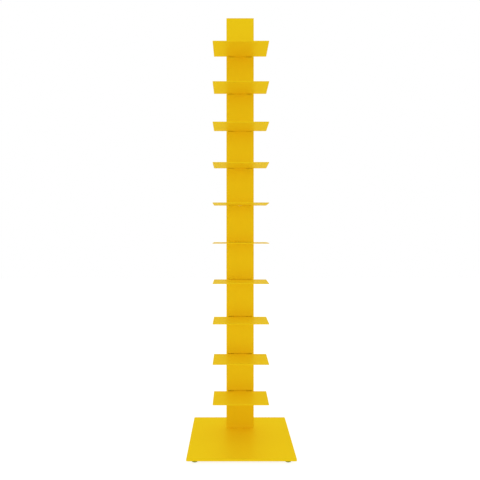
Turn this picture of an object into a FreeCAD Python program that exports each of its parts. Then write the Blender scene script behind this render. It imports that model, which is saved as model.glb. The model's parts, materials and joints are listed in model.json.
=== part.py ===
"""Spine bookshelf: a square steel base, a slim folded spine and ten hooked-in steel shelves.

Millimetres. +X is to the viewer's right, +Y is towards the back and +Z is up. The origin
is on the floor, under the middle of the base.
"""
import FreeCAD, Part
import os
from math import cos, pi, sin, sqrt, tan

Vector = FreeCAD.Vector
UP = Vector(0, 0, 1)

# Base plate
base_side = 349.0            # square, 13 3/4 in
base_thick = 7.0
base_corner = 1.8            # cut off each corner at 45 degrees
base_ease = 0.8              # chamfer along the edges
base_skin = 1.4              # metal left over the blind holes of the feet

# Spine, a flat box folded from sheet, with a slit down the middle of its back
spine_width = 100.0
spine_depth = 30.0
spine_sheet = 2.0
spine_bend = 1.0             # inside radius of every fold
spine_slit = 20.0            # between the two lips that close the back
spine_face_y = 72.0          # the front face, behind the middle of the base
spine_above_top_shelf = 140.0

# Shelves
shelf_count = 10
shelf_pitch = 135.6          # from the base to the lowest shelf, and from shelf to shelf
shelf_width = 190.0
shelf_depth = 140.0
shelf_sheet = 2.5
shelf_corner = 1.5           # cut off each corner
shelf_ease = 0.5             # chamfer along the edges
shelf_stand_off = 5.0        # from a shelf's back edge to the spine's face

# Hook at the back of each shelf: a tongue through the slot, turned up behind the web.
# Its head widens to both sides there, and the slot is as long as the head needs to enter.
tongue_width = 44.0
tongue_root = 12.0           # how far the tongue runs on into the shelf
head_rise = 3.0              # from the shelf's top face to the underside of the wide head
head_side_gap = 1.9          # from the head's ends to the splice's walls
hook_height = 14.0           # the hook's tip above the shelf's top face
hook_gap = 0.5               # between the hook and the web's inner face
hook_clearance = 0.25        # least room around the slot's upper edge as a shelf tilts
seat_gap = 0.1               # under the tongue
slot_side_gap = 0.5          # at each end of the head, as it enters

# Joint between the two lengths of spine
lower_shelves = 7            # shelves on the lower length
joint_above_shelf = 18.0
splice_height = 130.0
splice_sheet = 3.0
splice_bend = 2.0
nest_gap = 0.1               # between a part and the channel that it sits in
splice_screw_reach = 38.0    # the two screws are this far above the joint
splice_screw_radius = 3.0
splice_hole_gap = 0.25       # around a screw that passes through the lip
splice_head_radius = 4.6
splice_head_height = 2.8
splice_socket = 4.0          # across the flats
splice_socket_depth = 1.7

# Plate that closes the spine's top
cap_thick = 2.0

# Foot of the spine and the screws from below
foot_plate_thick = 8.0
foot_plate_depth = 84.0
foot_plate_corner = 3.0
foot_plate_inset = 0.4       # from the channel's inner walls
lip_notch_gap = 0.5          # over the foot plate, where the lips are cut short
base_screw_radius = 4.0
base_screw_head = 7.9        # radius of the countersunk head
base_screw_x = 32.0          # screws at plus and minus this
base_screw_margin = 14.0     # from the foot plate's front and back edges
base_screw_recess = 0.3      # the heads lie this deep in the underside
base_screw_socket = 5.0      # across the flats
base_screw_socket_depth = 2.4
base_hole_gap = 0.4          # around a screw that passes through the base
countersink_gap = 0.15       # around the countersunk head
screw_end_gap = 1.0          # of thread left over a screw's end
thread_gap = 0.05            # around a screw or stem in its thread

# Levelling feet
foot_height = 10.5           # from the floor to the base's underside
foot_inset = 25.5            # from a foot's middle to the base's edges
pad_radius = 10.0
pad_floor = 3.4              # pad under the stem's head
stem_radius = 4.0
stem_head_radius = 6.5
stem_head_thick = 2.6        # the head's top is level with the pad's
swivel_gap = 0.08            # between the stem and its pad
stem_end_gap = 0.6           # over the stem in its hole

# Heights and places that follow
base_bottom = foot_height
base_top = base_bottom + base_thick
spine_back_y = spine_face_y + spine_depth
inner_half = spine_width / 2 - spine_sheet
inner_front_y = spine_face_y + spine_sheet
inner_back_y = spine_back_y - spine_sheet
head_half = inner_half - nest_gap - splice_sheet - head_side_gap
shelf_back_y = spine_face_y - shelf_stand_off
shelf_front_y = shelf_back_y - shelf_depth
shelf_tops = [base_top + shelf_pitch * (place + 1) for place in range(shelf_count)]
joint_z = shelf_tops[lower_shelves - 1] + joint_above_shelf
spine_top = shelf_tops[-1] + spine_above_top_shelf

# A shelf tilts about the middle of its hook's bend, which lies inside the web. The slot
# rises above the tongue until the web's lower edge has hook_clearance in that bend.
hook_bend = spine_sheet / 2 + hook_gap
hook_axis_y = spine_face_y + spine_sheet / 2
slot_rise = hook_bend - sqrt((hook_bend - hook_clearance) ** 2 - (spine_sheet / 2) ** 2)


def box(x_range, y_range, z_range):
    """A block between the given limits."""
    size = [high - low for low, high in (x_range, y_range, z_range)]
    return Part.makeBox(*size, Vector(x_range[0], y_range[0], z_range[0]))


def disc(radius, x, y, z_low, z_high):
    """An upright cylinder."""
    return Part.makeCylinder(radius, z_high - z_low, Vector(x, y, z_low))


def plate(x_range, y_range, z_range, corner, ease=0.0):
    """A flat plate with cut corners and, where ease is given, chamfered edges."""
    flat = box(x_range, y_range, z_range)
    uprights = [edge for edge in flat.Edges if edge.BoundBox.ZLength > edge.Length / 2]
    flat = flat.makeChamfer(corner, uprights)
    if ease:
        rims = [edge for edge in flat.Edges if edge.BoundBox.ZLength < ease / 10]
        flat = flat.makeChamfer(ease, rims)
    return flat


def rounded_run(points, radius):
    """Edges along the points, with an arc of this radius at each corner."""
    edges = []
    start = points[0]
    for before, corner, after in zip(points, points[1:], points[2:]):
        run_in = (corner - before).normalize()
        run_out = (after - corner).normalize()
        half_turn = run_in.getAngle(run_out) / 2
        set_back = radius * tan(half_turn)
        inward = (run_out - run_in).normalize()
        arc_start = corner - run_in * set_back
        arc_middle = corner + inward * (radius / cos(half_turn) - radius)
        arc_end = corner + run_out * set_back
        edges.append(Part.LineSegment(start, arc_start).toShape())
        edges.append(Part.Arc(arc_start, arc_middle, arc_end).toShape())
        start = arc_end
    edges.append(Part.LineSegment(start, points[-1]).toShape())
    return edges


def bent_sheet(outside, normal, sheet, bend, along):
    """Sheet folded along the line outside, which runs round the outer side of every fold.

    normal is square to the line's plane, and the metal lies on the side of
    normal x direction. along is the vector that the section is extruded by.
    """
    sides = [normal.cross((after - before).normalize())
             for before, after in zip(outside, outside[1:])]
    inside = [outside[0] + sides[0] * sheet]
    for corner, one, other in zip(outside[1:], sides, sides[1:]):
        inside.append(corner + (one + other) * (sheet / (1 + one.dot(other))))
    inside.append(outside[-1] + sides[-1] * sheet)
    edges = rounded_run(outside, bend + sheet) + rounded_run(inside, bend)
    edges.append(Part.LineSegment(outside[0], inside[0]).toShape())
    edges.append(Part.LineSegment(outside[-1], inside[-1]).toShape())
    section = Part.Face(Part.Wire(Part.__sortEdges__(edges)))
    return section.extrude(along)


def revolved(profile, x, y):
    """A solid turned from (radius, height) points about an upright axis at x, y."""
    points = [Vector(radius, 0, height) for radius, height in profile]
    face = Part.Face(Part.makePolygon(points + points[:1]))
    turned = face.revolve(Vector(0, 0, 0), UP, 360)
    turned.translate(Vector(x, y, 0))
    return turned


def hex_socket(across, middle, direction, depth):
    """The hexagonal recess of a socket screw, cut from middle along direction."""
    sideways = Vector(1, 0, 0)
    other = direction.cross(sideways)
    reach = across / sqrt(3)
    corners = [middle + sideways * (reach * cos(turn * pi / 3)) + other * (reach * sin(turn * pi / 3))
               for turn in range(6)]
    return Part.Face(Part.makePolygon(corners + corners[:1])).extrude(direction * depth)


def spine_length(z_low, z_high, shelves):
    """One length of the spine: a channel with wide lips and a slot for each of its shelves."""
    half = spine_width / 2
    outside = [Vector(-spine_slit / 2, spine_back_y, z_low), Vector(-half, spine_back_y, z_low),
               Vector(-half, spine_face_y, z_low), Vector(half, spine_face_y, z_low),
               Vector(half, spine_back_y, z_low), Vector(spine_slit / 2, spine_back_y, z_low)]
    channel = bent_sheet(outside, UP, spine_sheet, spine_bend, UP * (z_high - z_low))
    slot_half = head_half + slot_side_gap
    for top in shelves:
        channel = channel.cut(box((-slot_half, slot_half),
                                  (spine_face_y - spine_sheet, inner_front_y + spine_sheet),
                                  (top - shelf_sheet - seat_gap, top + slot_rise)))
    return channel


def splice_screw_places():
    """X and Z of each screw that holds the upper length: one in each lip."""
    x_out = spine_width / 2 - spine_sheet - spine_bend - splice_head_radius - splice_hole_gap
    return [(side * x_out, joint_z + splice_screw_reach) for side in (-1, 1)]


def drill_splice_holes(part, radius):
    """Cut the splice screws' holes through part, from behind."""
    for x, z in splice_screw_places():
        hole = Part.makeCylinder(radius, spine_depth / 2, Vector(x, spine_back_y + spine_sheet, z),
                                 Vector(0, -1, 0))
        part = part.cut(hole)
    return part


def make_lower_spine():
    lower = spine_length(base_top, joint_z, shelf_tops[:lower_shelves])
    over_plate = base_top + foot_plate_thick + lip_notch_gap
    notch = box((-inner_half, inner_half), (inner_back_y - spine_bend, spine_back_y + spine_sheet),
                (base_top, over_plate))
    return lower.cut(notch)


def make_upper_spine():
    upper = spine_length(joint_z, spine_top, shelf_tops[lower_shelves:])
    return drill_splice_holes(upper, splice_screw_radius + splice_hole_gap)


def make_splice():
    """A channel that faces forwards inside the spine, welded to the lips of the lower length."""
    half = inner_half - nest_gap
    back = inner_back_y - nest_gap
    front = inner_front_y + spine_bend + nest_gap
    low = joint_z - splice_height / 2
    outside = [Vector(half, front, low), Vector(half, back, low),
               Vector(-half, back, low), Vector(-half, front, low)]
    splice = bent_sheet(outside, UP, splice_sheet, splice_bend, UP * splice_height)
    return drill_splice_holes(splice, splice_screw_radius + thread_gap)


def make_splice_screws():
    """Low-head socket screws from behind, through the lips into the splice."""
    grip = spine_sheet + nest_gap + splice_sheet + screw_end_gap
    screws = []
    for x, z in splice_screw_places():
        screw = revolved([(0, -grip), (splice_screw_radius, -grip), (splice_screw_radius, 0),
                          (splice_head_radius, 0), (splice_head_radius, splice_head_height),
                          (0, splice_head_height)], 0, 0)
        socket = hex_socket(splice_socket, UP * splice_head_height, -UP, splice_socket_depth)
        screw = screw.cut(socket)
        screw.rotate(Vector(0, 0, 0), Vector(1, 0, 0), -90)
        screw.translate(Vector(x, spine_back_y, z))
        screws.append(screw)
    return Part.makeCompound(screws)


def make_cap():
    """Plate welded into the spine's open top."""
    half = inner_half - nest_gap
    return plate((-half, half), (inner_front_y + nest_gap, inner_back_y - nest_gap),
                 (spine_top - cap_thick, spine_top), spine_bend)


def foot_plate_limits():
    """X and Y limits of the plate under the spine."""
    half = inner_half - foot_plate_inset
    front = inner_front_y + foot_plate_inset
    return (-half, half), (front, front + foot_plate_depth)


def base_screw_places():
    """X and Y of the screws that hold the spine's foot plate to the base."""
    _, (front, back) = foot_plate_limits()
    return [(side * base_screw_x, y) for side in (-1, 1)
            for y in (front + base_screw_margin, back - base_screw_margin)]


def make_foot_plate():
    """Plate welded into the channel's lower end, reaching back over the base."""
    x_range, y_range = foot_plate_limits()
    foot = plate(x_range, y_range, (base_top, base_top + foot_plate_thick), foot_plate_corner)
    for x, y in base_screw_places():
        foot = foot.cut(disc(base_screw_radius + thread_gap, x, y, base_top, base_top + foot_plate_thick))
    return foot


def foot_places():
    """Name and middle of each levelling foot."""
    reach = base_side / 2 - foot_inset
    return [("front_left", -reach, -reach), ("front_right", reach, -reach),
            ("back_left", -reach, reach), ("back_right", reach, reach)]


def make_base_plate():
    half = base_side / 2
    base = plate((-half, half), (-half, half), (base_bottom, base_top), base_corner, base_ease)
    for _, x, y in foot_places():
        base = base.cut(disc(stem_radius + thread_gap, x, y, base_bottom, base_top - base_skin))
    hole = base_screw_radius + base_hole_gap
    mouth = base_screw_head + base_screw_recess + countersink_gap
    for x, y in base_screw_places():
        countersink = revolved([(0, base_bottom), (mouth, base_bottom),
                                (hole, base_bottom + mouth - hole), (0, base_bottom + mouth - hole)], x, y)
        base = base.cut(disc(hole, x, y, base_bottom, base_top)).cut(countersink)
    return base


def make_base_screws():
    """Countersunk socket screws, from below into the foot plate."""
    low = base_bottom + base_screw_recess
    cone_top = low + base_screw_head - base_screw_radius
    end = base_top + foot_plate_thick - screw_end_gap
    screws = []
    for x, y in base_screw_places():
        screw = revolved([(0, low), (base_screw_head, low), (base_screw_radius, cone_top),
                          (base_screw_radius, end), (0, end)], x, y)
        socket = hex_socket(base_screw_socket, Vector(x, y, low), UP, base_screw_socket_depth)
        screws.append(screw.cut(socket))
    return Part.makeCompound(screws)


def make_shelf(top):
    """A flat shelf. Its tongue passes through the spine's slot and turns up into a wide head."""
    under = top - shelf_sheet
    tray = plate((-shelf_width / 2, shelf_width / 2), (shelf_front_y, shelf_back_y), (under, top),
                 shelf_corner, shelf_ease)
    root = shelf_back_y - tongue_root
    hook_back = hook_axis_y + hook_bend + shelf_sheet
    outside = [Vector(-head_half, root, under), Vector(-head_half, hook_back, under),
               Vector(-head_half, hook_back, top + hook_height)]
    hook = bent_sheet(outside, Vector(1, 0, 0), shelf_sheet, hook_bend, Vector(2 * head_half, 0, 0))
    for x_range in ((-head_half, -tongue_width / 2), (tongue_width / 2, head_half)):
        hook = hook.cut(box(x_range, (root, hook_back), (under, top + head_rise)))
    return tray.fuse(hook).removeSplitter()


def make_pad(x, y):
    """Foot pad: a thick disc with a cup in which the stem's round head turns."""
    pad_top = pad_floor + stem_head_thick
    cup = stem_head_radius + swivel_gap
    cup_floor = pad_floor - swivel_gap
    return revolved([(0, 0), (pad_radius, 0), (pad_radius, pad_top), (cup, pad_top),
                     (cup, cup_floor), (0, cup_floor)], x, y)


def make_stem(x, y):
    """Foot stem: a threaded stud, drawn plain, with a round head in the pad's cup."""
    head_top = pad_floor + stem_head_thick
    end = base_top - base_skin - stem_end_gap
    return revolved([(0, pad_floor), (stem_head_radius, pad_floor), (stem_head_radius, head_top),
                     (stem_radius, head_top), (stem_radius, end), (0, end)], x, y)


def all_nodes():
    """Every node's name and shape."""
    nodes = {
        "base_plate": make_base_plate(),
        "base_screws": make_base_screws(),
        "spine_foot": make_foot_plate(),
        "lower_spine": make_lower_spine(),
        "upper_spine": make_upper_spine(),
        "spine_splice": make_splice(),
        "splice_screws": make_splice_screws(),
        "spine_cap": make_cap(),
    }
    for place, top in enumerate(shelf_tops):
        nodes[f"shelf_{place + 1:02d}"] = make_shelf(top)
    for name, x, y in foot_places():
        nodes[f"foot_pad_{name}"] = make_pad(x, y)
        nodes[f"foot_stem_{name}"] = make_stem(x, y)
    return nodes


def main():
    os.makedirs("parts", exist_ok=True)
    for name, shape in all_nodes().items():
        shape.exportStep(f"parts/{name}.step")
        print(f"{name}: {len(shape.Solids)} solid(s), {shape.Volume / 1000:.2f} cm3, valid {shape.isValid()}")


main()
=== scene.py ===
# %% [markdown]
# # A steel spine bookshelf
#
# The real thing is a tower for books. A slim box of folded steel, the spine, stands on a heavy
# square plate, and ten small flat shelves hook into slots in its face. Everything but the feet
# and the screws is steel under one satin yellow powder coat.
#
# The steel parts arrive from the CAD model at their true size and are never moved. This lesson
# gives them their finish, makes the small parts that need a finer surface than the CAD has
# (screws, studs, foot pads, welds), and sets up a bright, even studio around them.

# %% Load the steel parts
import json
from math import cos, pi, radians, sin

import bmesh
import bpy
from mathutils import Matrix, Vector


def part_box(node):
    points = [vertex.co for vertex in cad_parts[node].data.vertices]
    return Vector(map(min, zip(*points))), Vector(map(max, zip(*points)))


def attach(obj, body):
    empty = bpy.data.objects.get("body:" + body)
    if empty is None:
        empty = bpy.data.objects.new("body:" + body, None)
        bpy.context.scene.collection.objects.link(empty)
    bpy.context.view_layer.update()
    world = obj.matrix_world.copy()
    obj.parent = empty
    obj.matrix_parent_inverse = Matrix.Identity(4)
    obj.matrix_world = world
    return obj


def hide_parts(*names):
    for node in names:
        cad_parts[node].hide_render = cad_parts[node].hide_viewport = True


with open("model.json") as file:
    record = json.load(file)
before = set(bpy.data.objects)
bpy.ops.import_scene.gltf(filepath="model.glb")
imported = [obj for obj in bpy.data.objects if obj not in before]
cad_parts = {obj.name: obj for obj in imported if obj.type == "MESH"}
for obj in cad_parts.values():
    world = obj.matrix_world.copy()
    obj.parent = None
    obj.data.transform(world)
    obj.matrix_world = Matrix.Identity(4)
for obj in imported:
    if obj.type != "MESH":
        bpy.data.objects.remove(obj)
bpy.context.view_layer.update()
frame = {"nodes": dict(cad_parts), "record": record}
nodes = frame["nodes"]
MM = 0.001
shelves = [name for name in nodes if name.startswith("shelf_")]
corners = sorted(name[len("foot_pad_"):] for name in nodes if name.startswith("foot_pad_"))
print("loaded", len(nodes), "parts,", len(shelves), "shelves and", len(corners), "feet")

# %% [markdown]
# ## The camera
#
# A picture of a tall thing looks right only from the right place. The camera looks level along
# +Y, a little left of the tower's middle, at about the height of the fifth shelf. Its lens is
# worked out from the focal length in pixels of a square picture. It could be tilted to centre
# the tower, but then the uprights would lean. So it stays level and the lens is shifted instead,
# as an architect's camera does it.

# %% Camera
PICTURE_SIDE = 480.0                       # pixels
FOCAL_PIXELS = 482.9
LEVEL_POINT = (231.15, 234.0)              # the pixel that the camera looks straight at
EYE = Vector((-0.0327, -1.6918, 0.7253))
SENSOR_WIDTH = 36.0                        # millimetres

camera_data = bpy.data.cameras.new("camera")
camera_data.sensor_width = SENSOR_WIDTH
camera_data.lens = SENSOR_WIDTH * FOCAL_PIXELS / PICTURE_SIDE
camera_data.shift_x = 0.5 - LEVEL_POINT[0] / PICTURE_SIDE
camera_data.shift_y = LEVEL_POINT[1] / PICTURE_SIDE - 0.5
camera = bpy.data.objects.new("camera", camera_data)
camera.location = EYE
camera.rotation_euler = (radians(90), 0, 0)
bpy.context.scene.collection.objects.link(camera)
bpy.context.scene.camera = camera
bpy.context.scene.view_settings.view_transform = "Standard"
print(f"camera: lens {camera_data.lens:.2f} mm,",
      f"shift {camera_data.shift_x:.4f}, {camera_data.shift_y:.4f}")

# %% [markdown]
# ## Small helpers for node trees
#
# Materials, the world and Geometry Nodes are all trees of nodes, so three short helpers serve
# them all: one adds a node and fills in its settings and inputs, one does a sum, and one makes a
# group with its sockets ready for use.

# %% Node helpers
def add(tree, kind, inputs=(), **settings):
    """A new node. inputs maps a socket's name or number to a value, or to a socket to link from."""
    node = tree.nodes.new(kind)
    for name, value in settings.items():
        setattr(node, name, value)
    for key, value in dict(inputs).items():
        if isinstance(value, bpy.types.NodeSocket):
            tree.links.new(value, node.inputs[key])
        else:
            node.inputs[key].default_value = value
    return node


def math(tree, operation, *values, clamp=False):
    """The output of a Math node."""
    node = add(tree, "ShaderNodeMath", enumerate(values), operation=operation, use_clamp=clamp)
    return node.outputs[0]


def new_group(name, kind, inputs, outputs):
    """A node group with these sockets, and its input and output nodes."""
    group = bpy.data.node_groups.new(name, kind)
    for label, socket_type, value in inputs:
        socket = group.interface.new_socket(label, in_out="INPUT", socket_type=socket_type)
        if value is not None:
            socket.default_value = value
    for label, socket_type in outputs:
        group.interface.new_socket(label, in_out="OUTPUT", socket_type=socket_type)
    return group, group.nodes.new("NodeGroupInput"), group.nodes.new("NodeGroupOutput")


print("helpers ready")

# %% [markdown]
# ## The studio
#
# The tower stands on a white floor in a soft white light from all round, so there are hardly any
# shadows. Large area lamps could give that light, but one bright world does it with no lamps and
# no noise. To the camera, and in whatever mirrors it, it is plain white. As a light it is nearly
# even: a little stronger from the two sides, where softboxes would stand, and a little weaker
# from the front, where the camera and the dark end of the room are.

# %% World
WHITE = (1, 1, 1, 1)
LIGHT_LEVEL = 0.835
SIDE_GAIN = 0.05                           # more, straight from the left or the right
FRONT_FALL = 0.1                           # less, straight from the front


def seen_directly(tree):
    """1 for a ray from the camera or one that was mirrored or let through, 0 for the rest."""
    path = add(tree, "ShaderNodeLightPath").outputs
    mirrored = math(tree, "MAXIMUM", path["Is Glossy Ray"], path["Is Transmission Ray"])
    return math(tree, "MAXIMUM", path["Is Camera Ray"], mirrored)


world = bpy.data.worlds.new("studio")
world.use_nodes = True
tree = world.node_tree
tree.nodes.clear()
looking = add(tree, "ShaderNodeTexCoord").outputs["Generated"]
direction = add(tree, "ShaderNodeSeparateXYZ", {0: looking}).outputs
sideways = math(tree, "MULTIPLY", direction["X"], direction["X"])
forwards = math(tree, "MAXIMUM", math(tree, "MULTIPLY", direction["Y"], -1.0), 0.0)
level = math(tree, "MULTIPLY_ADD", sideways, SIDE_GAIN, LIGHT_LEVEL)
level = math(tree, "MULTIPLY_ADD", forwards, -FRONT_FALL, level)
strength = math(tree, "MAXIMUM", level, seen_directly(tree))
background = add(tree, "ShaderNodeBackground", {"Color": WHITE, "Strength": strength})
add(tree, "ShaderNodeOutputWorld", {"Surface": background.outputs[0]})
bpy.context.scene.world = world
print("world level", LIGHT_LEVEL)

# %% [markdown]
# ## The floor
#
# The floor is white as well. To the tower it is a real white floor, which throws light up under
# the shelves. Seen by the camera or in a mirror it glows a little, so that it runs into the
# background, and it still takes the tower's faint shadow. A curved backdrop could hide its far
# edge, but a white floor against a white world has no edge to hide. It can be seen through from
# below, for a look at the feet.

# %% Floor
FLOOR_SIDE = 12.0
FLOOR_ALBEDO = 0.97                        # what it throws back at the tower
FLOOR_SEEN_ALBEDO = 0.35                   # what takes the shadow
FLOOR_SEEN_GLOW = 0.86                     # what makes up the rest of the white
FLOOR_DROP = 0.2 * MM                      # below the feet, so that the faces don't meet


def grey(value):
    """A colour with no hue."""
    return (value, value, value, 1)


floor_half = FLOOR_SIDE / 2
floor_mesh = bpy.data.meshes.new("floor")
floor_mesh.from_pydata([(x * floor_half, y * floor_half, -FLOOR_DROP)
                        for x, y in ((-1, -1), (1, -1), (1, 1), (-1, 1))], [], [(0, 1, 2, 3)])
floor = bpy.data.objects.new("floor", floor_mesh)
bpy.context.scene.collection.objects.link(floor)
floor_paint = bpy.data.materials.new("floor_paint")
floor_paint.use_nodes = True
tree = floor_paint.node_tree
tree.nodes.clear()
lighting = add(tree, "ShaderNodeBsdfDiffuse", {"Color": grey(FLOOR_ALBEDO)})
shown = add(tree, "ShaderNodeBsdfDiffuse", {"Color": grey(FLOOR_SEEN_ALBEDO)})
glow = add(tree, "ShaderNodeEmission", {"Color": WHITE, "Strength": FLOOR_SEEN_GLOW})
seen_floor = add(tree, "ShaderNodeAddShader", {0: shown.outputs[0], 1: glow.outputs[0]})
both = add(tree, "ShaderNodeMixShader", {0: seen_directly(tree), 1: lighting.outputs[0],
                                         2: seen_floor.outputs[0]})
below = add(tree, "ShaderNodeNewGeometry").outputs["Backfacing"]
clear = add(tree, "ShaderNodeBsdfTransparent").outputs[0]
from_above = add(tree, "ShaderNodeMixShader", {0: below, 1: both.outputs[0], 2: clear})
add(tree, "ShaderNodeOutputMaterial", {"Surface": from_above.outputs[0]})
floor_mesh.materials.append(floor_paint)
print("floor", FLOOR_SIDE, "m square")

# %% [markdown]
# ## Effects that more than one finish uses
#
# No real surface is one number all over. Two shader groups give every finish here its small
# unevenness, each material with its own values. *Drift* wanders slowly between two colours, as a
# sprayed, plated or moulded surface does. *Grain* is fine relief at two sizes: its height feeds
# a Bump node, and its mask varies the roughness. A painted picture could do the same, but it
# would show its edges and its pixels up close. Noise has neither.

# %% Shader group: Drift
DRIFT_SPAN = (0.3, 0.7)                    # the noise between these runs from tone to tone
DRIFT_DETAIL = 3.0


def make_drift():
    """Colour that wanders between two near tones."""
    group, given, out = new_group("Drift", "ShaderNodeTree",
                                  [("Tone A", "NodeSocketColor", WHITE),
                                   ("Tone B", "NodeSocketColor", (0.9, 0.9, 0.9, 1)),
                                   ("Patch size", "NodeSocketFloat", 0.1)],
                                  [("Color", "NodeSocketColor")])
    place = add(group, "ShaderNodeTexCoord").outputs["Object"]
    scale = math(group, "DIVIDE", 1.0, given.outputs["Patch size"])
    noise = add(group, "ShaderNodeTexNoise", {"Vector": place, "Scale": scale,
                                              "Detail": DRIFT_DETAIL})
    share = add(group, "ShaderNodeMapRange", {"Value": noise.outputs["Fac"],
                                              "From Min": DRIFT_SPAN[0],
                                              "From Max": DRIFT_SPAN[1]})
    mix = add(group, "ShaderNodeMix", data_type="RGBA")
    group.links.new(share.outputs[0], mix.inputs[0])
    group.links.new(given.outputs["Tone A"], mix.inputs[6])
    group.links.new(given.outputs["Tone B"], mix.inputs[7])
    group.links.new(mix.outputs[2], out.inputs["Color"])
    return group


drift = make_drift()
print("group", drift.name)


# %% Shader group: Grain
GRAIN_SPAN = (0.35, 0.65)                  # the waves between these run from smooth to rough
WAVE_DETAIL, GRIT_DETAIL = 1.0, 2.0


def make_grain():
    """Fine relief at two sizes: soft waves with finer grit on top."""
    group, given, out = new_group("Grain", "ShaderNodeTree",
                                  [("Wave size", "NodeSocketFloat", 0.002),
                                   ("Grit size", "NodeSocketFloat", 0.0004),
                                   ("Grit share", "NodeSocketFloat", 0.3),
                                   ("Smooth", "NodeSocketFloat", 0.4),
                                   ("Rough", "NodeSocketFloat", 0.5)],
                                  [("Height", "NodeSocketFloat"),
                                   ("Roughness", "NodeSocketFloat")])
    size = given.outputs
    place = add(group, "ShaderNodeTexCoord").outputs["Object"]
    waves = add(group, "ShaderNodeTexNoise", {
        "Vector": place, "Scale": math(group, "DIVIDE", 1.0, size["Wave size"]),
        "Detail": WAVE_DETAIL})
    grit = add(group, "ShaderNodeTexNoise", {
        "Vector": place, "Scale": math(group, "DIVIDE", 1.0, size["Grit size"]),
        "Detail": GRIT_DETAIL})
    fine = math(group, "MULTIPLY", grit.outputs["Fac"], size["Grit share"])
    height = math(group, "ADD", waves.outputs["Fac"], fine)
    rough = add(group, "ShaderNodeMapRange", {
        "Value": waves.outputs["Fac"], "From Min": GRAIN_SPAN[0], "From Max": GRAIN_SPAN[1],
        "To Min": size["Smooth"], "To Max": size["Rough"]})
    group.links.new(height, out.inputs["Height"])
    group.links.new(rough.outputs[0], out.inputs["Roughness"])
    return group


grain = make_grain()
print("group", grain.name)


# %% [markdown]
# ## Finishes
#
# A finish is a Principled shader with the two groups plugged in. Values that are the same all
# over, such as the specular level, are typed into the shader's own sockets. The powder coat is a
# deep, saturated yellow with a satin shine that is yellow too: a shelf mirrors the spine softly
# beside it and the white room further out. A white shine would wash the yellow out, so part of
# the coat is made metallic, with a yellow edge tint, and its ordinary shine is nearly off. The
# screws and studs are bright zinc, and the foot pads are green plastic.

# %% Finish maker
def finish(name, tones, patch, relief, roughness, bump, metallic=0.0, specular=0.5,
           edge=(1, 1, 1)):
    """A material with Drift in its colour and Grain in its relief and roughness.

    tones are two linear colours, patch is the size of Drift's patches, relief is Grain's wave
    size, grit size and grit share, roughness is its smooth and its rough end, and bump is the
    height of the relief. Lengths are in metres. edge tints what the surface mirrors at a
    glancing angle.
    """
    material = bpy.data.materials.new(name)
    material.use_nodes = True
    tree = material.node_tree
    tree.nodes.clear()
    colour = add(tree, "ShaderNodeGroup", node_tree=drift)
    colour.inputs["Tone A"].default_value = tones[0] + (1,)
    colour.inputs["Tone B"].default_value = tones[1] + (1,)
    colour.inputs["Patch size"].default_value = patch
    skin = add(tree, "ShaderNodeGroup", node_tree=grain)
    labels = ("Wave size", "Grit size", "Grit share", "Smooth", "Rough")
    for label, value in zip(labels, relief + roughness):
        skin.inputs[label].default_value = value
    normal = add(tree, "ShaderNodeBump", {"Height": skin.outputs["Height"], "Strength": 1.0,
                                          "Distance": bump})
    shader = add(tree, "ShaderNodeBsdfPrincipled", {
        "Base Color": colour.outputs["Color"], "Roughness": skin.outputs["Roughness"],
        "Normal": normal.outputs[0], "Metallic": metallic, "Specular IOR Level": specular,
        "Specular Tint": edge + (1,)})
    add(tree, "ShaderNodeOutputMaterial", {"Surface": shader.outputs[0]})
    return material


print("finish() ready")

# %% Finishes
yellow_coat = finish("yellow_powder_coat",
                     tones=((0.985, 0.694, 0.0118), (0.985, 0.686, 0.0114)), patch=0.12,
                     relief=(1.6 * MM, 0.35 * MM, 0.25), roughness=(0.35, 0.4), bump=0.02 * MM,
                     metallic=0.19, specular=0.003, edge=(0.9, 0.97, 0.1))
zinc = finish("zinc_plate",
              tones=((0.66, 0.66, 0.64), (0.52, 0.53, 0.52)), patch=0.004,
              relief=(0.8 * MM, 0.15 * MM, 0.5), roughness=(0.25, 0.42), bump=0.01 * MM,
              metallic=1.0)
pad_plastic = finish("foot_pad_plastic",
                     tones=((0.155, 0.32, 0.042), (0.14, 0.295, 0.037)), patch=0.01,
                     relief=(0.7 * MM, 0.2 * MM, 0.5), roughness=(0.5, 0.62), bump=0.02 * MM,
                     specular=0.3)
slots = {"yellow_powder_coat": yellow_coat, "zinc_plated_steel": zinc,
         "foot_pad_plastic": pad_plastic}
for part in frame["record"]["subparts"]:
    mesh = nodes[part["node"]].data
    mesh.materials.clear()
    mesh.materials.append(slots[part["material_slot"]])
print("finished", len(nodes), "parts in", len(slots), "finishes")

# %% [markdown]
# ## Turned parts
#
# Screws, studs and foot pads are all turned on a lathe or moulded round, so one helper makes them
# all: it spins a list of radius and height pairs about Z into a closed shell. Some rings can be
# six-sided instead of round, which gives the socket for a hex key. A ready-made cylinder would be
# quicker, but the profile carries the small roundings that catch the light.

# %% Lathe helper
SHARP_EDGE = radians(35)                   # folds sharper than this stay crisp
HALF_FLAT = radians(30)                    # half the angle that one flat of a hexagon takes


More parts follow.
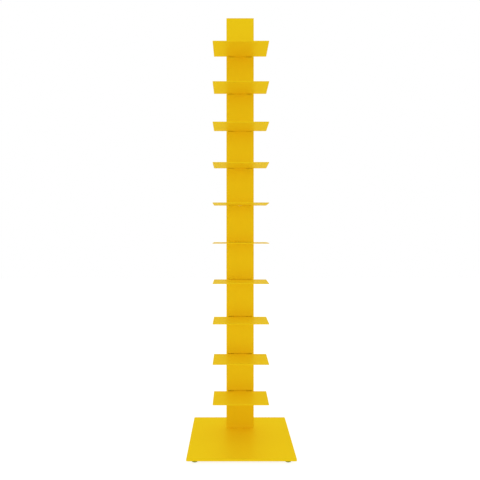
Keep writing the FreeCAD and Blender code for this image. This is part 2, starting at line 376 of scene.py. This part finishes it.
def turned(name, profile, sides=48, hexagons=()):
    """A closed mesh turned about Z from (radius, height) pairs that start and end on the axis.

    The pairs whose places in the list are in hexagons become six-sided, and their radius is then
    half the distance across the flats.
    """
    shape = bmesh.new()
    rings = []
    for place, (radius, height) in enumerate(profile):
        if radius == 0:
            rings.append([shape.verts.new((0, 0, height))] * sides)
            continue
        ring = []
        for step in range(sides):
            angle = 2 * pi * step / sides
            off_flat = (angle + HALF_FLAT) % (2 * HALF_FLAT) - HALF_FLAT
            reach = radius / cos(off_flat) if place in hexagons else radius
            ring.append(shape.verts.new((reach * cos(angle), reach * sin(angle), height)))
        rings.append(ring)
    for near, far in zip(rings, rings[1:]):
        for step in range(sides):
            after = (step + 1) % sides
            around = [near[step], near[after], far[after], far[step]]
            shape.faces.new(list(dict.fromkeys(around)))
    bmesh.ops.recalc_face_normals(shape, faces=shape.faces[:])
    mesh = bpy.data.meshes.new(name)
    shape.to_mesh(mesh)
    shape.free()
    mesh.shade_smooth()
    mesh.set_sharp_from_angle(angle=SHARP_EDGE)
    return mesh


print("turned() ready")


# %% Profile helpers
HEX_RINGS = (1, 2)                         # the rings of hex_socket() that are six-sided


def rounded(radius, height, across, up, ease, steps=4):
    """Profile points for a corner at (radius, height), eased by a quarter round.

    across and up point from the corner into the two faces, as +1 or -1 along radius and height.
    The points start on the face that runs along the radius.
    """
    middle_r, middle_h = radius + across * ease, height + up * ease
    points = []
    for step in range(steps + 1):
        angle = pi / 2 * step / steps
        points.append((middle_r - across * ease * sin(angle), middle_h - up * ease * cos(angle)))
    return points


def hex_socket(flat, depth, top, point, ease):
    """Profile points of a hex socket in a face at the height top, from its bottom to its mouth.

    flat is half the distance across the flats. point is the depth of the drill's cone below the
    flats, and ease is the chamfer around the mouth.
    """
    return [(0, top - depth - point), (flat, top - depth), (flat, top - ease),
            (flat / cos(HALF_FLAT) + ease, top)]


print("rounded() and hex_socket() ready")

# %% [markdown]
# ## Running a Geometry Nodes tree
#
# Threads, rows of screws and weld beads repeat by a rule, so Geometry Nodes make them. A tree is
# a recipe with named sizes. This helper runs it once on a starting mesh, sets the sizes by their
# sockets' identifiers, and keeps the result as a plain mesh that no longer needs the recipe.

# %% Recipe runner
def run_recipe(tree, start_mesh, **sizes):
    """The plain mesh that a Geometry Nodes tree makes from a mesh, with these named inputs."""
    start = bpy.data.objects.new("start", start_mesh)
    bpy.context.scene.collection.objects.link(start)
    modifier = start.modifiers.new("recipe", "NODES")
    modifier.node_group = tree
    for socket in tree.interface.items_tree:
        label = socket.name.replace(" ", "_").lower()
        if socket.in_out == "INPUT" and label in sizes:
            modifier[socket.identifier] = sizes.pop(label)
    if sizes:
        raise ValueError(f"{tree.name} has no input called {', '.join(sizes)}")
    depsgraph = bpy.context.evaluated_depsgraph_get()
    mesh = bpy.data.meshes.new_from_object(start.evaluated_get(depsgraph), depsgraph=depsgraph)
    start.modifiers.remove(modifier)
    bpy.data.objects.remove(start)
    return mesh


print("run_recipe() ready")


# %% Piece maker
def add_piece(name, mesh, body, slot, replaced=()):
    """A finished piece on a body, in a finish of the record, standing for the nodes replaced."""
    piece = bpy.data.objects.new(name, mesh)
    bpy.context.scene.collection.objects.link(piece)
    if not mesh.materials:
        mesh.materials.append(slots[slot])
    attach(piece, body)
    if replaced:
        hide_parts(*replaced)
    print(f"{name}: {len(mesh.polygons)} faces")


def axis_of(node):
    """Where the upright axis of a round part stands, on the floor."""
    low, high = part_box(node)
    return (low.x + high.x) / 2, (low.y + high.y) / 2, 0


print("add_piece() and axis_of() ready")

# %% [markdown]
# ## Levelling feet: the studs
#
# Each foot is a threaded stud that screws into the base, with a round head that swivels in a
# plastic pad. The thread shows in the gap between pad and base. It could be cut as a spiral with
# the Screw modifier, but a thread is a rule: its depth depends only on how far up the stud a
# point is and on its angle around. So a plain cylinder with fine rows is pushed in by that rule,
# and the head, turned on the lathe, is joined to it.

# %% Recipe: threaded stud
GROOVE_STEEPNESS = 2.6                     # of the flanks, against a plain zigzag
CREST_SHARE = 0.15                         # raises the zigzag, so that the crest is flat


def make_stud_recipe():
    """Adds a threaded rod to the head that it is given, and moves both to their place."""
    tree, given, out = new_group("Threaded stud", "GeometryNodeTree",
                                 [("Head", "NodeSocketGeometry", None),
                                  ("Radius", "NodeSocketFloat", 0.004),
                                  ("Depth", "NodeSocketFloat", 0.0007),
                                  ("Pitch", "NodeSocketFloat", 0.00125),
                                  ("Bottom", "NodeSocketFloat", 0.006),
                                  ("Top", "NodeSocketFloat", 0.0155),
                                  ("Lead", "NodeSocketFloat", 0.0008),
                                  ("Around", "NodeSocketInt", 36),
                                  ("Rows", "NodeSocketInt", 60),
                                  ("Middle", "NodeSocketVector", (0, 0, 0)),
                                  ("Finish", "NodeSocketMaterial", None)],
                                 [("Geometry", "NodeSocketGeometry")])
    size = given.outputs
    length = math(tree, "SUBTRACT", size["Top"], size["Bottom"])
    rod = add(tree, "GeometryNodeMeshCylinder", {
        "Vertices": size["Around"], "Side Segments": size["Rows"], "Radius": size["Radius"],
        "Depth": length})
    place = add(tree, "GeometryNodeInputPosition").outputs[0]
    x, y, z = add(tree, "ShaderNodeSeparateXYZ", {0: place}).outputs
    around = math(tree, "DIVIDE", math(tree, "ARCTAN2", y, x), 2 * pi)
    turns = math(tree, "SUBTRACT", math(tree, "DIVIDE", z, size["Pitch"]), around)
    saw = math(tree, "ABSOLUTE", math(tree, "SUBTRACT", math(tree, "FRACT", turns), 0.5))
    groove = math(tree, "MULTIPLY_ADD", saw, GROOVE_STEEPNESS, -CREST_SHARE, clamp=True)
    half_length = math(tree, "MULTIPLY", length, 0.5)
    from_end = math(tree, "SUBTRACT", half_length, math(tree, "ABSOLUTE", z))
    end = math(tree, "SUBTRACT", 1.0, math(tree, "DIVIDE", from_end, size["Lead"], clamp=True))
    cut = math(tree, "MULTIPLY", size["Depth"], math(tree, "MAXIMUM", groove, end))
    keep = math(tree, "SUBTRACT", 1.0, math(tree, "DIVIDE", cut, size["Radius"]))
    spot = add(tree, "ShaderNodeCombineXYZ", {0: math(tree, "MULTIPLY", x, keep),
                                              1: math(tree, "MULTIPLY", y, keep), 2: z})
    thread = add(tree, "GeometryNodeSetPosition", {"Geometry": rod.outputs["Mesh"],
                                                   "Position": spot.outputs[0]})
    middle_z = math(tree, "MULTIPLY", math(tree, "ADD", size["Top"], size["Bottom"]), 0.5)
    lift = add(tree, "ShaderNodeCombineXYZ", {2: middle_z})
    raised = add(tree, "GeometryNodeTransform", {"Geometry": thread.outputs[0],
                                                 "Translation": lift.outputs[0]})
    stud = add(tree, "GeometryNodeJoinGeometry", {0: size["Head"]})
    tree.links.new(raised.outputs[0], stud.inputs[0])
    moved = add(tree, "GeometryNodeTransform", {"Geometry": stud.outputs[0],
                                                "Translation": size["Middle"]})
    real = add(tree, "GeometryNodeRealizeInstances", {0: moved.outputs[0]})
    painted = add(tree, "GeometryNodeSetMaterial", {"Geometry": real.outputs[0],
                                                    "Material": size["Finish"]})
    tree.links.new(painted.outputs[0], out.inputs[0])
    return tree


stud_recipe = make_stud_recipe()
print("recipe", stud_recipe.name)

# %% Studs
STUD_RADIUS, STUD_HEAD_RADIUS = 4.0 * MM, 6.5 * MM
STUD_HEAD = (3.4 * MM, 6.0 * MM)           # bottom and top above the floor
STUD_HEAD_EASE = 0.4 * MM
STUD_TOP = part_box("foot_stem_front_left")[1].z
THREAD_PITCH = 1.25 * MM
THREAD_DEPTH = 0.75 * MM
THREAD_SINK = 0.2 * MM                     # how far the rod starts inside the head
ROWS_PER_TURN = 9

stud_head = turned("stud_head", [(0, STUD_HEAD[0])]
                   + rounded(STUD_HEAD_RADIUS, STUD_HEAD[0], -1, 1, STUD_HEAD_EASE)
                   + rounded(STUD_HEAD_RADIUS, STUD_HEAD[1], -1, -1, STUD_HEAD_EASE)[::-1]
                   + [(0, STUD_HEAD[1])])
thread_bottom = STUD_HEAD[1] - THREAD_SINK
thread_rows = round((STUD_TOP - thread_bottom) / THREAD_PITCH * ROWS_PER_TURN)
for corner in corners:
    stem = "foot_stem_" + corner
    stud = run_recipe(stud_recipe, stud_head, radius=STUD_RADIUS, depth=THREAD_DEPTH,
                      pitch=THREAD_PITCH, bottom=thread_bottom, top=STUD_TOP, rows=thread_rows,
                      middle=axis_of(stem), finish=zinc)
    add_piece("stud_" + corner, stud, stem, "zinc_plated_steel", [stem])

# %% [markdown]
# ## Levelling feet: the pads
#
# A pad is a moulded disc with a cup for the stud's head and soft grooves in its sole. A cylinder
# with bevels would give the disc, but the cup and the grooves would have to be cut. It is the
# same shape all round, so the lathe makes it in one go, with eased edges as a mould gives them.

# %% Pads
PAD_RADIUS, PAD_TOP, PAD_SIDES = 10.0 * MM, 6.0 * MM, 64
CUP_RADIUS, CUP_FLOOR = 6.58 * MM, 3.32 * MM
SOLE_EASE, SHOULDER_EASE, CUP_EASE = 0.6 * MM, 0.9 * MM, 0.3 * MM
SOLE_GROOVES = (3.0 * MM, 5.4 * MM, 7.8 * MM)
GROOVE_HALF, GROOVE_DEPTH = 0.45 * MM, 0.6 * MM

pad_profile = [(0, 0)]
for groove in SOLE_GROOVES:
    pad_profile += [(groove - GROOVE_HALF, 0), (groove - GROOVE_HALF / 2, GROOVE_DEPTH),
                    (groove + GROOVE_HALF / 2, GROOVE_DEPTH), (groove + GROOVE_HALF, 0)]
pad_profile += rounded(PAD_RADIUS, 0, -1, 1, SOLE_EASE)
pad_profile += rounded(PAD_RADIUS, PAD_TOP, -1, -1, SHOULDER_EASE)[::-1]
pad_profile += rounded(CUP_RADIUS, PAD_TOP, 1, -1, CUP_EASE)
pad_profile += [(CUP_RADIUS, CUP_FLOOR), (0, CUP_FLOOR)]
for corner in corners:
    pad = turned("pad_" + corner, pad_profile, sides=PAD_SIDES)
    middle = Vector(axis_of("foot_pad_" + corner))
    for vertex in pad.vertices:
        vertex.co += middle
    add_piece("pad_" + corner, pad, "foot_pad_" + corner, "foot_pad_plastic",
              ["foot_pad_" + corner])

# %% [markdown]
# ## Socket screws
#
# Four countersunk screws come up through the base into the spine's foot, and two low round-headed
# ones hold the upper length of spine to the splice. They show from below and from behind. Each
# could be a copy that is set by hand. Instead the lathe turns one of each kind, with its hex
# socket, and a small tree sets a copy on each of a few points. It turns each by a different
# amount, because no one stops a screw at a set angle.

# %% Recipe: screws in place
def make_screws_recipe():
    """Sets a screw on every point that it is given."""
    tree, given, out = new_group("Screws in place", "GeometryNodeTree",
                                 [("Places", "NodeSocketGeometry", None),
                                  ("Screw", "NodeSocketObject", None),
                                  ("Lean", "NodeSocketVector", (0, 0, 0)),
                                  ("Seed", "NodeSocketInt", 3),
                                  ("Finish", "NodeSocketMaterial", None)],
                                 [("Geometry", "NodeSocketGeometry")])
    size = given.outputs
    screw = add(tree, "GeometryNodeObjectInfo", {"Object": size["Screw"], "As Instance": True})
    spin = add(tree, "FunctionNodeRandomValue", {2: 0.0, 3: 2 * pi, "Seed": size["Seed"]},
               data_type="FLOAT")
    twist = add(tree, "FunctionNodeAxisAngleToRotation", {"Axis": (0, 0, 1),
                                                          "Angle": spin.outputs[1]})
    lean = add(tree, "FunctionNodeEulerToRotation", {0: size["Lean"]})
    turn = add(tree, "FunctionNodeRotateRotation", {"Rotation": lean.outputs[0],
                                                    "Rotate By": twist.outputs[0]},
               rotation_space="LOCAL")
    copies = add(tree, "GeometryNodeInstanceOnPoints", {"Points": size["Places"],
                                                        "Instance": screw.outputs["Geometry"],
                                                        "Rotation": turn.outputs[0]})
    real = add(tree, "GeometryNodeRealizeInstances", {0: copies.outputs[0]})
    painted = add(tree, "GeometryNodeSetMaterial", {"Geometry": real.outputs[0],
                                                    "Material": size["Finish"]})
    tree.links.new(painted.outputs[0], out.inputs[0])
    return tree


screws_recipe = make_screws_recipe()
print("recipe", screws_recipe.name)


# %% Screw setter
def screws_in_place(name, pattern, places, lean, replaced):
    """Copies of one screw, whose head faces +Z from its origin, leaned and set on the places."""
    points = bpy.data.meshes.new(name)
    points.from_pydata(places, [], [])
    template = bpy.data.objects.new(name + "_pattern", pattern)
    bpy.context.scene.collection.objects.link(template)
    mesh = run_recipe(screws_recipe, points, screw=template, lean=lean, finish=zinc)
    bpy.data.objects.remove(template)
    add_piece(name, mesh, "tower", "zinc_plated_steel", replaced)


print("screws_in_place() ready")

# %% Countersunk screws under the base
FACING_DOWN = (pi, 0, 0)
COUNTERSUNK_HEAD, COUNTERSUNK_SHANK = 7.9 * MM, 4.0 * MM
COUNTERSUNK_SOCKET, COUNTERSUNK_SOCKET_DEPTH = 2.5 * MM, 2.4 * MM     # half across the flats
COUNTERSUNK_SOCKET_POINT, COUNTERSUNK_EASE = 0.6 * MM, 0.25 * MM
COUNTERSUNK_RIM, COUNTERSUNK_RIM_IN = 0.6 * MM, 0.35 * MM             # height, and step inwards
COUNTERSUNK_TIP = 0.5 * MM                 # chamfer at the screw's end

low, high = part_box("base_screws")
cone = COUNTERSUNK_HEAD - COUNTERSUNK_SHANK
tip = low.z - high.z
countersunk = turned("countersunk_screw", hex_socket(
    COUNTERSUNK_SOCKET, COUNTERSUNK_SOCKET_DEPTH, 0, COUNTERSUNK_SOCKET_POINT, COUNTERSUNK_EASE)
    + rounded(COUNTERSUNK_HEAD, 0, -1, -1, COUNTERSUNK_EASE)
    + [(COUNTERSUNK_HEAD - COUNTERSUNK_RIM_IN, -COUNTERSUNK_RIM), (COUNTERSUNK_SHANK, -cone),
       (COUNTERSUNK_SHANK, tip + COUNTERSUNK_TIP), (COUNTERSUNK_SHANK - COUNTERSUNK_TIP, tip),
       (0, tip)], hexagons=HEX_RINGS)
base_screw_places = [(x, y, low.z)
                     for x in (low.x + COUNTERSUNK_HEAD, high.x - COUNTERSUNK_HEAD)
                     for y in (low.y + COUNTERSUNK_HEAD, high.y - COUNTERSUNK_HEAD)]
screws_in_place("screws_under_base", countersunk, base_screw_places, FACING_DOWN, ["base_screws"])

# %% Low-head screws at the splice
FACING_BACK = (-pi / 2, 0, 0)
BUTTON_HEAD, BUTTON_HEIGHT, BUTTON_SHANK = 4.6 * MM, 2.8 * MM, 3.0 * MM
BUTTON_SOCKET, BUTTON_SOCKET_DEPTH = 2.0 * MM, 1.7 * MM               # half across the flats
BUTTON_SOCKET_POINT, BUTTON_SOCKET_EASE = 0.4 * MM, 0.2 * MM
BUTTON_DOME = ((3.0, 2.75), (3.6, 2.5), (4.1, 2.05), (4.4, 1.45))     # radius and height, in mm
BUTTON_RIM, BUTTON_RIM_EASE = 0.7 * MM, 0.15 * MM
BUTTON_TIP = 0.4 * MM                      # chamfer at the screw's end

low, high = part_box("splice_screws")
grip = high.y - low.y - BUTTON_HEIGHT
button = turned("button_screw", hex_socket(
    BUTTON_SOCKET, BUTTON_SOCKET_DEPTH, BUTTON_HEIGHT, BUTTON_SOCKET_POINT, BUTTON_SOCKET_EASE)
    + [(radius * MM, height * MM) for radius, height in BUTTON_DOME]
    + [(BUTTON_HEAD, BUTTON_RIM), (BUTTON_HEAD, BUTTON_RIM_EASE),
       (BUTTON_HEAD - BUTTON_RIM_EASE, 0), (BUTTON_SHANK, 0), (BUTTON_SHANK, BUTTON_TIP - grip),
       (BUTTON_SHANK - BUTTON_TIP, -grip), (0, -grip)], hexagons=HEX_RINGS)
splice_screw_places = [(x, high.y - BUTTON_HEIGHT, (low.z + high.z) / 2)
                       for x in (low.x + BUTTON_HEAD, high.x - BUTTON_HEAD)]
screws_in_place("screws_at_splice", button, splice_screw_places, FACING_BACK, ["splice_screws"])

# %% [markdown]
# ## Weld beads
#
# The spine's foot and cap are welded inside the spine, and the splice is welded to the lips of
# the lower length. A weld is a row of small overlapping ripples along an edge, a little uneven
# because a hand made it, and here it lies under the powder coat. A curve with a round bevel would
# be too smooth. So the tree walks along the edges that it is given, sets a flattened ball at
# every step and varies its size by a fixed seed.

# %% Recipe: weld bead
BALL_SEGMENTS, BALL_RINGS = 12, 6
RIPPLE_LENGTH = 0.62                       # of a ball, along the bead, against its width


def make_weld_recipe():
    """A row of overlapping flattened balls along the edges that it is given."""
    tree, given, out = new_group("Weld bead", "GeometryNodeTree",
                                 [("Edges", "NodeSocketGeometry", None),
                                  ("Step", "NodeSocketFloat", 0.001),
                                  ("Radius", "NodeSocketFloat", 0.002),
                                  ("Unevenness", "NodeSocketFloat", 0.12),
                                  ("Seed", "NodeSocketInt", 11),
                                  ("Finish", "NodeSocketMaterial", None)],
                                 [("Geometry", "NodeSocketGeometry")])
    size = given.outputs
    path = add(tree, "GeometryNodeMeshToCurve", {"Mesh": size["Edges"]})
    steps = add(tree, "GeometryNodeCurveToPoints", {"Curve": path.outputs[0],
                                                    "Length": size["Step"]}, mode="LENGTH")
    along = add(tree, "FunctionNodeAlignRotationToVector", {"Vector": steps.outputs["Tangent"]},
                axis="Z")
    ball = add(tree, "GeometryNodeMeshUVSphere", {"Segments": BALL_SEGMENTS, "Rings": BALL_RINGS,
                                                  "Radius": size["Radius"]})
    least = math(tree, "SUBTRACT", 1.0, size["Unevenness"])
    swell = add(tree, "FunctionNodeRandomValue", {2: least, 3: 1.0, "Seed": size["Seed"]},
                data_type="FLOAT").outputs[1]
    squash = add(tree, "ShaderNodeCombineXYZ", {0: swell, 1: swell, 2: RIPPLE_LENGTH})
    ripples = add(tree, "GeometryNodeInstanceOnPoints", {"Points": steps.outputs["Points"],
                                                         "Instance": ball.outputs["Mesh"],
                                                         "Rotation": along.outputs[0],
                                                         "Scale": squash.outputs[0]})
    real = add(tree, "GeometryNodeRealizeInstances", {0: ripples.outputs[0]})
    smooth = add(tree, "GeometryNodeSetShadeSmooth", {0: real.outputs[0]})
    painted = add(tree, "GeometryNodeSetMaterial", {"Geometry": smooth.outputs[0],
                                                    "Material": size["Finish"]})
    tree.links.new(painted.outputs[0], out.inputs[0])
    return tree


weld_recipe = make_weld_recipe()
print("recipe", weld_recipe.name)


# %% Welding torch
BEAD, BEAD_STEP = 2.0 * MM, 1.1 * MM
SMALL_BEAD, SMALL_STEP = 1.3 * MM, 0.8 * MM


def weld(name, runs, radius, step, seed):
    """Weld beads along some runs, each a list of points that the torch follows."""
    points, edges = [], []
    for run in runs:
        first = len(points)
        points += run
        edges += [(place, place + 1) for place in range(first, len(points) - 1)]
    path = bpy.data.meshes.new(name)
    path.from_pydata(points, edges, [])
    mesh = run_recipe(weld_recipe, path, radius=radius, step=step, seed=seed, finish=yellow_coat)
    add_piece(name, mesh, "tower", "yellow_powder_coat")


print("weld() ready")

# %% Weld around the spine's foot
SPINE_SHEET = 2.0 * MM
BEAD_OFF_WALL = 0.9 * MM                   # from the spine's inner wall to the bead's middle
BEAD_OFF_PLATE = 0.4 * MM                  # from the plate's face to the bead's middle
BACK_CLEAR = 2.0 * MM                      # from the beads' ends to the spine's inner back

spine_low, spine_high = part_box("lower_spine")
side = spine_high.x - SPINE_SHEET - BEAD_OFF_WALL
front = spine_low.y + SPINE_SHEET + BEAD_OFF_WALL
back = spine_high.y - SPINE_SHEET - BACK_CLEAR
foot_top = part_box("spine_foot")[1].z + BEAD_OFF_PLATE
weld("weld_spine_foot", [[(-side, back, foot_top), (-side, front, foot_top),
                          (side, front, foot_top), (side, back, foot_top)]], BEAD, BEAD_STEP, 11)

# %% Stitches at the splice
LIP_EDGE = 10.0 * MM                       # where the lips end, at both sides of the slit
STITCH = 12.0 * MM
STITCH_OFF = 0.2 * MM                      # from the lip and from the splice to the bead's middle
STITCH_MARGIN = 6.0 * MM                   # to the splice's lower end, and to the joint

splice_low, splice_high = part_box("spine_splice")
joint_height = spine_high.z
stitch_x, stitch_y = LIP_EDGE - STITCH_OFF, splice_high.y + STITCH_OFF
stitch_starts = (splice_low.z + STITCH_MARGIN, (splice_low.z + joint_height - STITCH) / 2,
                 joint_height - STITCH - STITCH_MARGIN)
stitches = [[(sign * stitch_x, stitch_y, start), (sign * stitch_x, stitch_y, start + STITCH)]
            for sign in (-1, 1) for start in stitch_starts]
weld("weld_splice", stitches, SMALL_BEAD, SMALL_STEP, 12)

# %% Tacks under the cap
CORNER_CLEAR = 4.0 * MM                    # from the side tacks' ends to the front wall's bead
FRONT_TACK_HALF = 20.0 * MM

cap_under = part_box("spine_cap")[0].z - BEAD_OFF_PLATE
cap_tacks = [[(x, front + CORNER_CLEAR, cap_under), (x, back, cap_under)] for x in (side, -side)]
cap_tacks += [[(-FRONT_TACK_HALF, front, cap_under), (FRONT_TACK_HALF, front, cap_under)]]
weld("weld_spine_cap", cap_tacks, BEAD, BEAD_STEP, 13)

# %% [markdown]
# ## Closing up
#
# The pieces that were added are meant to stay inside the box of the steel parts. This last cell
# only prints a closing line.

# %% Closing line
print("scene built")
